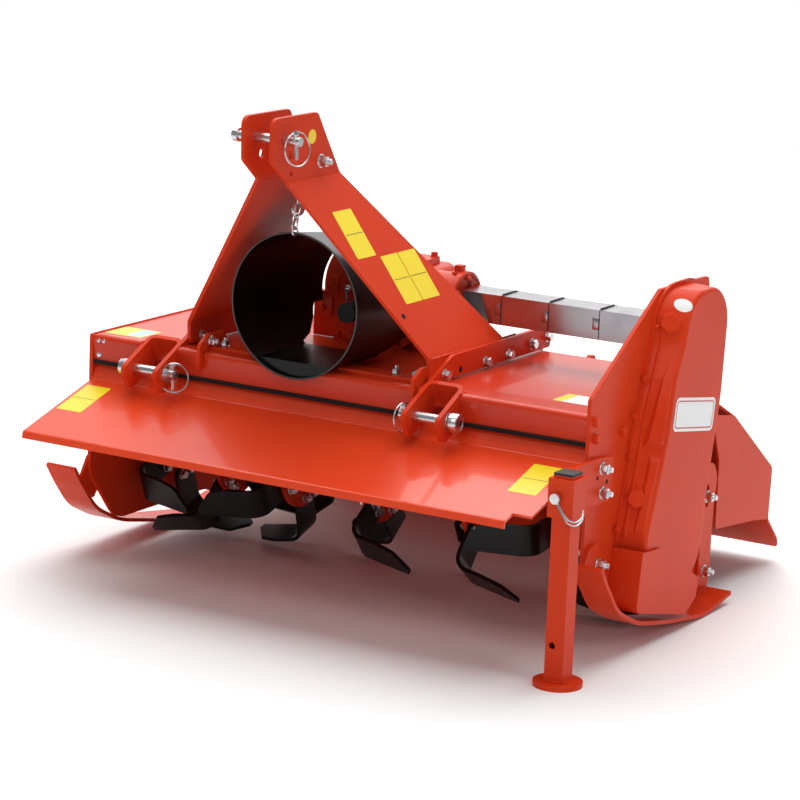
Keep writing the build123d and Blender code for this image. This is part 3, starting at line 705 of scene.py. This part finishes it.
# bolts of the rim, first down its front side and then down its rear side
for y, z in (
    (243, 530), (197, 383), (158, 242), (283, 628), (205, 462),
    (514, 520), (494, 420), (472, 318),
):
    bolt("case_rim_bolts", "frame", (CASE_RIM_X, y, z), (1, 0, 0), 11, material=RED, washer=False)
# fields pressed out of the front wall: piece, z from and to, left edge at the top and at the foot,
# right edge, height, and the lengths over which it rises at the top and falls at the foot
for row in (
    ("case_pad_upper", 585, 398, 712, 692, 729, 12.0, 130, 14),
    ("case_pad_lower", 386, 214, 706, 704, 729, 8.0, 18, 60),
    ("case_pad_edge", 640, 214, 683, 681, 694, 4.0, 30, 30),
):
    pressed_pad(*row)

# ------------------------------------------------------------ stand pin: head and two-wire clip
bm = bin_mesh("stand_pin_clip", "frame", ZINC, "zinc")
for wire in (
    [(STAND_PIN_X, -152, 368), (716, -156, 352), (731, -156, 336), (744, -148, 332), (752, -140, 340),
     (750, -132, 352)],
    [(STAND_PIN_X, -154, 366), (718, -158, 347), (733, -159, 330), (746, -151, 326), (754, -142, 336),
     (750, -132, 352)],
):
    tube(bm, smooth_path([at(*p) for p in wire]), 1.7, 8)
lathe(bm, at(STAND_PIN_X, -152.5, 371), (0, -1, 0), [(10.4, 0), (10.4, 4), (9, 6.4), (0, 7.2)], 28)

# ------------------------------------------------------------ two bolts through each blade's root
BLADE_BOLT_OUT, BLADE_BOLT_ACROSS = 60, 13
for x, first, sides in ROTOR_ROWS:
    for step, side in enumerate(sides):
        a = math.radians(first + step * 90)
        for across in (-BLADE_BOLT_ACROSS, BLADE_BOLT_ACROSS):
            y = ROTOR_Y + BLADE_BOLT_OUT * math.sin(a) + across * math.cos(a)
            z = ROTOR_Z - BLADE_BOLT_OUT * math.cos(a) + across * math.sin(a)
            bolt("blade_bolts", "rotor", (x + side * 13, y, z), (side, 0, 0), 16)
            bolt("blade_nuts", "rotor", (x - side * 5, y, z), (-side, 0, 0), 16, 4)

# ------------------------------------------------------------ washers at the ends of the hinge rod
bm = bin_mesh("hinge_ends", "frame", ZINC, "zinc")
ROD_END = [(6.2, 0), (11, 0), (11, 2), (8, 2.2), (6, 6), (0, 6)]
for x, direction in ((-499, -1), (655, 1)):
    lathe(bm, at(x, HINGE_Y, HINGE_Z), (direction, 0, 0), ROD_END, 20)

# ------------------------------------------------------------ welding beads
for x in (-506, 662):
    weld("deck_welds", "frame", (x, 44, 491.5), (x, 530, 491.5))
for side in (-1, 1):
    weld("clevis_welds", "frame", (side * 303, 72, 491.8), (side * 303, 134, 491.8))
    weld("clevis_welds", "frame", (side * 381, 36, 490.5), (side * 381, 60, 491.5))
    weld("tower_welds", "frame", (side * 291, 76, 541.5), (side * 291, 418, 541.5), 2.2)
for x in (680, -524):
    weld("skid_welds", "frame", (x, 552, 22), (x, 592, 28), 2.2)
weld("stand_welds", "stand", (688, -118, 11), (728, -118, 11), 2.0)
# around the foot of the stand's leg: x from and to, y from and to
for x0, x1, y0, y1 in (
    (688, 728, -138.5, -138.5), (728.5, 728.5, -138, -98),
    (688, 728, -97.5, -97.5), (687.5, 687.5, -138, -98),
):
    weld("leg_welds", "stand", (x0, y0, 11.5), (x1, y1, 11.5), 2.4)
for x in (-400, -100, 250, 550):
    weld("flap_welds", "flap", (x - 30, 590, 452.5), (x + 30, 590, 452.5), 2.2)

# ------------------------------------------------------------ each collected piece rides on its body
SMOOTH_ANGLE = math.radians(35)
for name, (bm, body, material, slot) in bins.items():
    bmesh.ops.remove_doubles(bm, verts=bm.verts, dist=1e-7)
    mesh = bpy.data.meshes.new(name)
    # a sticker is an open film and keeps the facing that decal gave it
    if "label" not in name and "sticker" not in name:
        bmesh.ops.recalc_face_normals(bm, faces=bm.faces)
    for face in bm.faces:
        face.smooth = True
    bm.to_mesh(mesh)
    bm.free()
    mesh.set_sharp_from_angle(angle=SMOOTH_ANGLE)
    mesh.materials.append(material)
    obj = bpy.data.objects.new(name, mesh)
    scene.collection.objects.link(obj)
    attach(obj, body)

# ------------------------------------------------------------ floor
FLOOR_RADIUS, FLOOR_SIDES = 7.2, 64
floor_material, _, _, floor_shader = new_material("stage_floor")
floor_shader.inputs["Base Color"].default_value = (0.93, 0.93, 0.93, 1)
floor_shader.inputs["Roughness"].default_value = 0.9
floor_turns = [math.tau * k / FLOOR_SIDES for k in range(FLOOR_SIDES)]
floor_edge = [(FLOOR_RADIUS * math.cos(a), FLOOR_RADIUS * math.sin(a), 0) for a in floor_turns]
floor_mesh = bpy.data.meshes.new("studio_floor")
floor_mesh.from_pydata(floor_edge, [], [tuple(range(FLOOR_SIDES))])
floor_mesh.materials.append(floor_material)
floor = bpy.data.objects.new("studio_floor", floor_mesh)
scene.collection.objects.link(floor)

# ------------------------------------------------------------ light
# the world is white behind the machine and dimmer where the viewer and the right-hand wall would be
BACKDROP = (-0.50, 0.80, 0.33)
world = bpy.data.worlds.new("studio")
scene.world = world
world.use_nodes = True
sky, sky_links = world.node_tree.nodes, world.node_tree.links
view_ray = sky.new("ShaderNodeTexCoord")
facing = sky.new("ShaderNodeVectorMath")
facing.operation = "DOT_PRODUCT"
facing.inputs[1].default_value = BACKDROP
sky_links.new(view_ray.outputs["Generated"], facing.inputs[0])
level = sky.new("ShaderNodeMapRange")
for socket, value in (("From Min", 0.5), ("From Max", 0.8), ("To Min", 0.22), ("To Max", 1.0)):
    level.inputs[socket].default_value = value
sky_links.new(facing.outputs["Value"], level.inputs["Value"])
sky_links.new(level.outputs["Result"], sky["Background"].inputs["Strength"])
sky["Background"].inputs["Color"].default_value = (1, 1, 1, 1)
scene.view_settings.view_transform = "Standard"

# soft lamps: name, place, aim, size, watts
for name, place, aim, size, watts in (
    ("key_front", (0.8, -4.2, 3.6), (0, 0, 0.4), (2.6, 2.2), 45),
    ("top_soft", (-0.6, 1.2, 5.2), (-0.6, 1.2, 0), (6.5, 6.5), 330),
    ("side_right", (4.6, -1.4, 2.4), (0, 0, 0.5), (1.8, 2.2), 30),
    ("floor_back", (-2.6, 5.4, 3.2), (-2.8, 6.0, 0), (5.0, 5.0), 200),
):
    lamp = bpy.data.lights.new(name, "AREA")
    lamp.shape = "RECTANGLE"
    lamp.size, lamp.size_y = size
    lamp.energy = watts
    light = bpy.data.objects.new(name, lamp)
    scene.collection.objects.link(light)
    light.location = place
    light.rotation_mode = "QUATERNION"
    light.rotation_quaternion = (Vector(aim) - Vector(place)).to_track_quat("-Z", "Y")

# ------------------------------------------------------------ camera
# azimuth 0 looks along +Y and 90 along -X; the roll turns the picture clockwise
AZIMUTH, ELEVATION, ROLL = (math.radians(angle) for angle in (30.45, 12.53, 2.3))
CAMERA_AT = at(3288.15, -5138.67, 1793.9)
cam_data = bpy.data.cameras.new("camera")
cam_data.lens = 139.65
cam_data.sensor_width = 36.0
cam_data.clip_end = 100
cam_data.dof.use_dof = False
camera = bpy.data.objects.new("camera", cam_data)
scene.collection.objects.link(camera)
scene.camera = camera
flat = math.cos(ELEVATION)
back = Vector((math.sin(AZIMUTH) * flat, -math.cos(AZIMUTH) * flat, math.sin(ELEVATION)))
right = Vector((math.cos(AZIMUTH), math.sin(AZIMUTH), 0))
up = back.cross(right)
turned_right = right * math.cos(ROLL) + up * math.sin(ROLL)
turned_up = up * math.cos(ROLL) - right * math.sin(ROLL)
turn = Matrix((turned_right, turned_up, back)).transposed().to_4x4()
camera.matrix_world = Matrix.Translation(CAMERA_AT) @ turn
